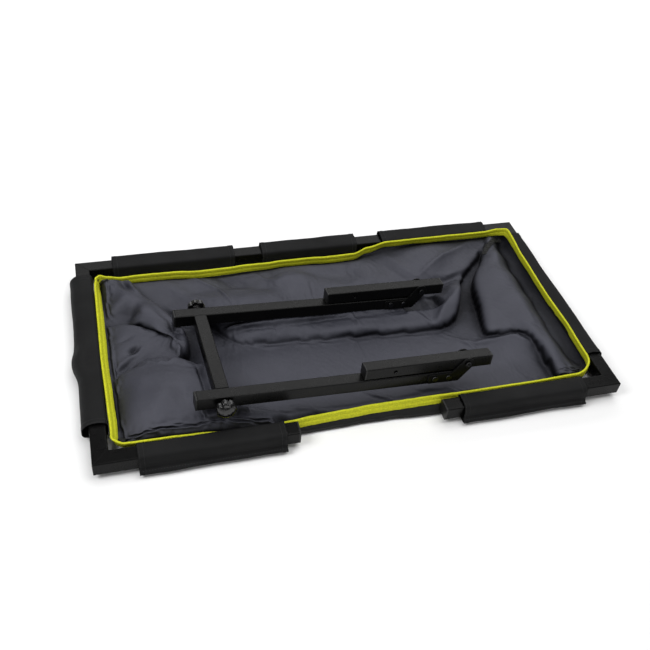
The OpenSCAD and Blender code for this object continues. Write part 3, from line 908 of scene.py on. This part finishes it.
def copy_for_collision(names):
    """Temporary copies of CAD nodes that the cloth falls against."""
    made = []
    for name in names:
        source = frame["nodes"][name]
        obj = bpy.data.objects.new("hit_" + name, source.data.copy())
        bpy.context.collection.objects.link(obj)
        obj.modifiers.new("hit", "COLLISION")
        obj.collision.thickness_outer = 1.5 * MM
        obj.collision.thickness_inner = 4 * MM
        made.append(obj)
    return made


def ground_for_collision():
    obj = flat_square("hit_ground", 0.7)
    obj.modifiers.new("hit", "COLLISION")
    obj.collision.thickness_outer = 1 * MM
    obj.collision.cloth_friction = 8
    return obj


# What the cloth falls against besides the ground.
OBSTACLES = ["leg_tube_near", "leg_tube_far", "crossbar", "knob_head_near", "knob_head_far",
             "plate_near_outer", "plate_far_outer", "plate_near_inner", "plate_far_inner",
             "rail_near", "rail_far"]

FABRIC = {
    "quality": 6, "mass": 0.12,
    "tension_stiffness": 25, "compression_stiffness": 25,
    "shear_stiffness": 12, "bending_stiffness": 12,
    "tension_damping": 15, "compression_damping": 15,
    "shear_damping": 10, "bending_damping": 2, "air_damping": 4,
    "shrink_min": -0.006, "vertex_group_mass": "rim", "pin_stiffness": 1.0,
}
TOUCH = {
    "use_self_collision": True, "self_distance_min": 2.2 * MM, "distance_min": 1.5 * MM,
    "self_friction": 8,
}


def drape(obj, frames):
    """Lets the cloth crumple and settle, then applies the result."""
    hits = copy_for_collision(OBSTACLES) + [ground_for_collision()]
    mod = obj.modifiers.new("cloth", "CLOTH")
    for name, value in FABRIC.items():
        setattr(mod.settings, name, value)
    for name, value in TOUCH.items():
        setattr(mod.collision_settings, name, value)
    mod.settings.effector_weights.gravity = 0.25
    scene = bpy.context.scene
    scene.frame_start, scene.frame_end = 1, frames
    mod.point_cache.frame_start, mod.point_cache.frame_end = 1, frames
    for f in range(1, frames + 1):
        scene.frame_set(f)
    bpy.context.view_layer.objects.active = obj
    with bpy.context.temp_override(object=obj, active_object=obj):
        bpy.ops.object.modifier_apply(modifier="cloth")
    scene.frame_set(1)
    for hit in hits:
        bpy.data.objects.remove(hit, do_unlink=True)


# How firmly the simulation keeps the cloth to its drawn folds, and to its edges and the gap.
LOOSE_PIN, HELD_PIN = 0.45, 0.95
SETTLE_FRAMES = 6


def make_basin(materials):
    points, faces, inner = basin_mesh()
    obj = new_piece("basin_cloth", points, faces, materials["inside"])
    obj.data.materials.append(materials["outside"])
    group = obj.vertex_groups.new(name="rim")
    x, y = points[:inner, 0], points[:inner, 1]
    held = (y < RIM_NEAR + TURN_IN) & (np.abs(x) < 160 * MM)
    held |= (np.abs(x) > RIM_X - 11 * MM) | (y > RIM_FAR - 9 * MM) | (y < RIM_NEAR + 7 * MM)
    group.add([int(i) for i in np.nonzero(~held)[0]], LOOSE_PIN, "REPLACE")
    group.add([int(i) for i in np.nonzero(held)[0]], HELD_PIN, "REPLACE")
    group.add(list(range(inner, len(points))), 1.0, "REPLACE")
    drape(obj, SETTLE_FRAMES)
    obj.vertex_groups.clear()
    wall = thicken(obj, CLOTH_THICK)
    wall.material_offset = 1
    wall.material_offset_rim = 1
    smooth = obj.modifiers.new("smooth", "SUBSURF")
    smooth.levels = smooth.render_levels = 1
    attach(obj, "tray")
    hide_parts("basin")
    return obj


# ---- the lime binding ----

def make_binding(materials):
    """A tape folded over the mouth's edge: up the outside, over the top and down the inside."""
    count, steps = 900, 16
    gap = 1.2 * MM
    s = np.linspace(0, LOOP, count, endpoint=False)
    top, foot = rim_line(s), band_foot(s)
    ahead = unit_rows(np.roll(top, -1, 0) - np.roll(top, 1, 0))
    down = unit_rows(foot - top)
    inward = np.cross(ahead, down)
    inward *= np.where((inward * (-top * [1, 1, 0])).sum(1) < 0, -1, 1)[:, None]
    rows = [top - inward * gap + down * (BAND * (1 - k / steps)) for k in range(steps + 1)]
    for angle in (150, 120, 90, 60, 30):
        a = math.radians(angle)
        rows.append(top + inward * gap * math.cos(a) - down * gap * math.sin(a))
    for k in range(steps + 1):
        rows.append(top + inward * gap + down * (BAND * 0.94 * k / steps))
    points = np.stack(rows, 0)
    turns = len(rows) - 1
    ripple = noise_over(top, 26, 26, 1.3)
    pucker = noise_over(top, 90, 90, 4.1)
    pucker *= 1 + 2.5 * bell(s - np.round(s), 0.03)
    for k in range(len(rows)):
        depth = abs(k - turns / 2) / (turns / 2)
        stitch = 0.35 * MM * bell(depth - 0.88, 0.05)
        stitch += 0.25 * MM * bell(depth - 0.5, 0.07)
        stitch -= 0.5 * MM * abs(math.sin(math.tau * depth))
        push = (ripple * 1.1 * MM + pucker * 0.3 * MM) * depth
        points[k] += inward * push[:, None]
        points[k] -= inward * stitch * (1 if k > turns / 2 else -1)
    points[:, :, 2] += pucker * 0.5 * MM
    faces = grid_faces(points.shape[0], count, wrap_cols=True)
    obj = new_piece("rim_binding_cloth", points.reshape(-1, 3), faces, materials["binding"])
    thicken(obj, CLOTH_THICK, offset=0)
    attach(obj, "tray")
    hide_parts("rim_binding")


# ---- sleeves ----

# The loop of each side's sleeves round its tube, in millimetres from the tube's middle: out of
# the frame, and up. The cloth is slack on the outside, where its two edges are sewn together.
SLEEVE_LOOPS = {
    "near": [(-15, -14), (-15.4, 0), (-15.4, 13), (-12, 15.6), (-3, 15.8), (6, 15.6), (13, 14),
             (16, 9), (17, 2), (17.4, -4), (17.6, -7.5), (17.8, -8.5), (19.5, -9.5), (23.5, -12),
             (24.5, -13.5), (22, -14.6), (17, -14.9), (8, -15), (-4, -15)],
    "far": [(-15, -14), (-15.4, 0), (-15.4, 13), (-12, 15.8), (-3, 17.2), (6, 18.4), (14, 18.2),
            (19, 14), (19.5, 6), (18, -4), (17, -12), (12, -15), (4, -15), (-6, -15)],
    "left": [(-15, -13), (-15.6, 0), (-15.2, 13), (-11, 15.8), (-2, 16.4), (8, 16.2), (17, 13),
             (22.5, 6), (24, -2), (23, -9), (18, -14), (10, -15.2), (0, -15.4), (-8, -15.2)],
    "right": [(-15, -14), (-15.4, 0), (-15.4, 13), (-12, 15.6), (-3, 16), (6, 16), (13, 14.6),
              (17, 9), (18, 0), (17.5, -8), (16, -14), (9, -15.2), (1, -15.2), (-7, -15.2)],
}

# Each sleeve: its name, its tube, its side of the frame, the way it faces out, and the seed of
# its own lumps.
SLEEVES = [
    ("sleeve_near_left", "frame_near_left_stub", "near", (0, -1, 0), 1.0),
    ("sleeve_near_right", "frame_near_right_stub", "near", (0, -1, 0), 2.3),
    ("sleeve_far_left", "frame_far_tube", "far", (0, 1, 0), 3.1),
    ("sleeve_far_middle", "frame_far_tube", "far", (0, 1, 0), 4.7),
    ("sleeve_far_right", "frame_far_tube", "far", (0, 1, 0), 5.9),
    ("sleeve_left_end", "frame_left_tube", "left", (-1, 0, 0), 6.4),
    ("sleeve_right_end", "frame_right_tube", "right", (1, 0, 0), 7.2),
]


def closed_spline(controls, count):
    """Points round a closed cubic B-spline, evenly spaced."""
    c = np.asarray(controls, float)
    t = np.linspace(0, len(c), 600, endpoint=False)
    i = t.astype(int)
    f = (t - i)[:, None]
    p0, p1, p2, p3 = (c[(i + k - 1) % len(c)] for k in range(4))
    line = ((1 - f) ** 3 * p0 + (3 * f ** 3 - 6 * f ** 2 + 4) * p1
            + (-3 * f ** 3 + 3 * f ** 2 + 3 * f + 1) * p2 + f ** 3 * p3) / 6
    full = np.vstack([line, line[:1]])
    run = np.concatenate([[0], np.cumsum(lengths_between(full))])
    want = np.linspace(0, run[-1], count, endpoint=False)
    return np.column_stack([np.interp(want, run, full[:, k]) for k in range(2)])


def sleeve_frame(name, out):
    """The middle of the tube under a sleeve, the way along it, and the sleeve's length."""
    lo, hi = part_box(name)
    out = Vector(out)
    along = Vector((0, 0, 1)).cross(out)
    middle = (lo + hi) / 2
    centre = along * middle.dot(along)
    reach = (HALF_LEN if abs(out.x) > 0.5 else HALF_WID) - TUBE / 2
    centre += out * reach
    centre.z = (LOW_Z + TOP_Z) / 2
    return centre, along, abs((hi - lo).dot(along))


# From a sleeve's end: its two lines of stitching, and the end of its doubled hem.
HEM_LINES = (2.2 * MM, 8.6 * MM)
HEM = 10.5 * MM
# The left end's sleeve stands off its tube most at this place along the frame, by this much.
BULGE_AT, BULGE = -15 * MM, 8 * MM


def hem_height(from_end):
    """How far the doubled hem stands up, and how its stitches pull it in."""
    height = 0.55 * MM if from_end < HEM else 0
    for line in HEM_LINES:
        height -= 0.45 * MM * bell(from_end - line, 0.7 * MM)
    return height


def make_sleeve(name, tube, side, out, seed, materials):
    centre, along, length = sleeve_frame(name, out)
    bulge = BULGE if side == "left" else 0.0
    bulge_at = along.dot(Vector((0, BULGE_AT, 0)) - centre)
    out = Vector(out)
    around, steps = 110, int(length / (2.2 * MM))
    loop = closed_spline(SLEEVE_LOOPS[side], around) * MM
    ahead = np.roll(loop, -1, 0) - np.roll(loop, 1, 0)
    normal = unit_rows(np.column_stack([-ahead[:, 1], ahead[:, 0]]))
    normal *= np.sign((normal * loop).sum(1).mean())
    rows = []
    for i in range(steps + 1):
        x = (i / steps - 0.5) * length
        end = 1 if x > 0 else -1
        from_end = length / 2 - abs(x)
        slack = min(1, from_end / (40 * MM))
        ring = []
        for k in range(around):
            u, v = loop[k]
            lump = noise.noise(Vector((x * 14 + seed * 3, u * 30, v * 30 + seed)))
            fine = noise.noise(Vector((x * 60 + seed, u * 60, v * 60 + seed)))
            free = max(0, min(1, (u - 2 * MM) / (14 * MM)))
            push = hem_height(from_end) + (lump * (0.5 + 1.3 * free * slack) + fine * 0.25) * MM
            if free > 0.9:
                push -= 0.5 * MM * bell(v + 4 * MM, 1.2 * MM)
            push += bulge * free * bell(x - bulge_at, 26 * MM)
            tail = 1.1 * MM * noise.noise(Vector((k * 0.12, seed, 3.0 + 2.0 * end)))
            tail *= math.exp(-from_end / (6 * MM)) * end
            p = centre + along * (x + tail) + out * float(u) + Vector((0, 0, float(v)))
            n = out * float(normal[k, 0]) + Vector((0, 0, float(normal[k, 1])))
            ring.append(p + n * float(push))
        rows.append(ring)
    points = [p for ring in rows for p in ring]
    obj = new_piece(name + "_cloth", points, grid_faces(steps + 1, around, wrap_cols=True),
                    materials["sleeve"])
    thicken(obj, 0.9 * MM, offset=0)
    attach(obj, "tray")
    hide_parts(name)
    threads = make_stitches(name, rows, centre, out, materials)


def make_stitches(name, rows, centre, out, materials):
    """Two rows of thread round both hems, and one along the seam, as short raised stitches."""
    count, around = len(rows), len(rows[0])
    length = (rows[-1][0] - rows[0][0]).length
    points, faces = [], []
    for end in (0, 1):
        for line in HEM_LINES:
            i = int(round(line / length * (count - 1)))
            ring = rows[i] if end == 0 else rows[count - 1 - i]
            middle = sum(ring, Vector()) / around
            for k in range(0, around, 2):
                a, b = ring[k], ring[(k + 1) % around]
                way = (b - a).normalized()
                n = (a + b) / 2 - middle
                n = (n - way * n.dot(way)).normalized()
                add_stitch(points, faces, a, b, n, 0.32 * MM)
    seam = max(range(around), key=lambda k: (rows[count // 2][k] - centre).dot(out))
    seam = (seam - 4) % around
    for i in range(2, count - 3, 2):
        a, b = rows[i][seam], rows[i + 1][seam]
        n = (out + Vector((0, 0, 1))).normalized()
        add_stitch(points, faces, a, b, n, 0.4 * MM)
    obj = new_piece(name + "_stitches", points, faces, materials["thread"])
    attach(obj, "tray")
    return obj


def add_stitch(points, faces, a, b, n, r):
    """One stitch: a short six-sided thread on the cloth, which dips in at both ends."""
    side = (b - a).normalized().cross(n)
    start = len(points)
    for f, dip, size in ((0.0, -0.5, 0.5), (0.25, 0.3, 1.0), (0.75, 0.3, 1.0), (1.0, -0.5, 0.5)):
        mid = a.lerp(b, f) + n * (0.5 * MM + r * dip)
        for k in range(6):
            angle = k * math.pi / 3
            points.append(mid + (side * math.cos(angle) + n * math.sin(angle)) * (r * size))
    faces.extend(tuple(start + v for v in f) for f in grid_faces(4, 6, wrap_cols=True))
    faces.append(tuple(start + k for k in range(5, -1, -1)))
    faces.append(tuple(start + 18 + k for k in range(6)))


def make_sleeves(materials):
    for sleeve in SLEEVES:
        make_sleeve(*sleeve, materials)


# ---- corner seam tapes ----

# Where each tape runs over the settled cloth, across the tray in millimetres.
TAPES = {
    "near_left": ((-399, -190), (-391, -180)),
    "near_right": ((399, -190), (391, -180)),
    "far_right": ((398, 183), (384, 177), (366, 165), (352, 152), (342, 138)),
    "far_left": ((-397, 179), (-387, 170)),
}


TAPE_WIDTH = 10 * MM
# The height that the search for the cloth starts from, and the height taken where it finds none.
ABOVE_ALL, PAST_CLOTH = 90 * MM, 20 * MM


def level_tape(level):
    """Evens out the cloth's heights under a tape, which bridges the small creases."""
    across = level.mean(1, keepdims=True)
    level = across + np.clip(level - across, -1.5 * MM, 1.5 * MM)
    for _ in range(4):
        pad = np.pad(level, 1, mode="edge")
        level = (pad[:-2, 1:-1] + pad[2:, 1:-1] + pad[1:-1, :-2] + pad[1:-1, 2:]) / 4
    return level


def make_tapes(materials, basin):
    """A puckered tape down each corner seam, lying on the settled cloth."""
    cloth_tree = BVHTree.FromPolygons([v.co for v in basin.data.vertices],
                                      [tuple(f.vertices) for f in basin.data.polygons])
    for name, path in TAPES.items():
        path = np.array(path, float) * MM
        run = np.concatenate([[0], np.cumsum(lengths_between(path))])
        count, half = int(run[-1] / (0.9 * MM)), 4
        places = np.linspace(0, run[-1], count)
        line = np.column_stack([np.interp(places, run, path[:, k]) for k in range(2)])
        plan = np.zeros((count, 2 * half + 1, 2))
        level = np.zeros((count, 2 * half + 1))
        for i in range(count):
            way = line[min(i + 1, count - 1)] - line[max(i - 1, 0)]
            side = np.array([-way[1], way[0]]) / np.linalg.norm(way)
            for j in range(-half, half + 1):
                at = line[i] + side * (j / half * TAPE_WIDTH / 2)
                hit = cloth_tree.ray_cast(Vector((at[0], at[1], ABOVE_ALL)), Vector((0, 0, -1)))[0]
                plan[i, j + half] = at
                level[i, j + half] = PAST_CLOTH if hit is None else hit.z
        level = level_tape(level)
        points = []
        for i in range(count):
            for j in range(-half, half + 1):
                pucker = 0.6 * MM * math.sin(i * 0.8 + j * 0.5) + 0.3 * MM * math.sin(i * 0.37 - j)
                points.append((*plan[i, j + half], level[i, j + half] + 1.4 * MM + pucker))
        faces = [f[::-1] for f in grid_faces(count, 2 * half + 1)]
        node_name = "seam_tape_" + name
        obj = new_piece(node_name + "_cloth", points, faces, materials["tape"])
        thicken(obj, CLOTH_THICK)
        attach(obj, "tray")
        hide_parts(node_name)


make_camera()
make_studio()
MATERIALS = make_materials()
paint_cad(MATERIALS)
BASIN = make_basin(MATERIALS)
make_binding(MATERIALS)
make_sleeves(MATERIALS)
make_tapes(MATERIALS, BASIN)
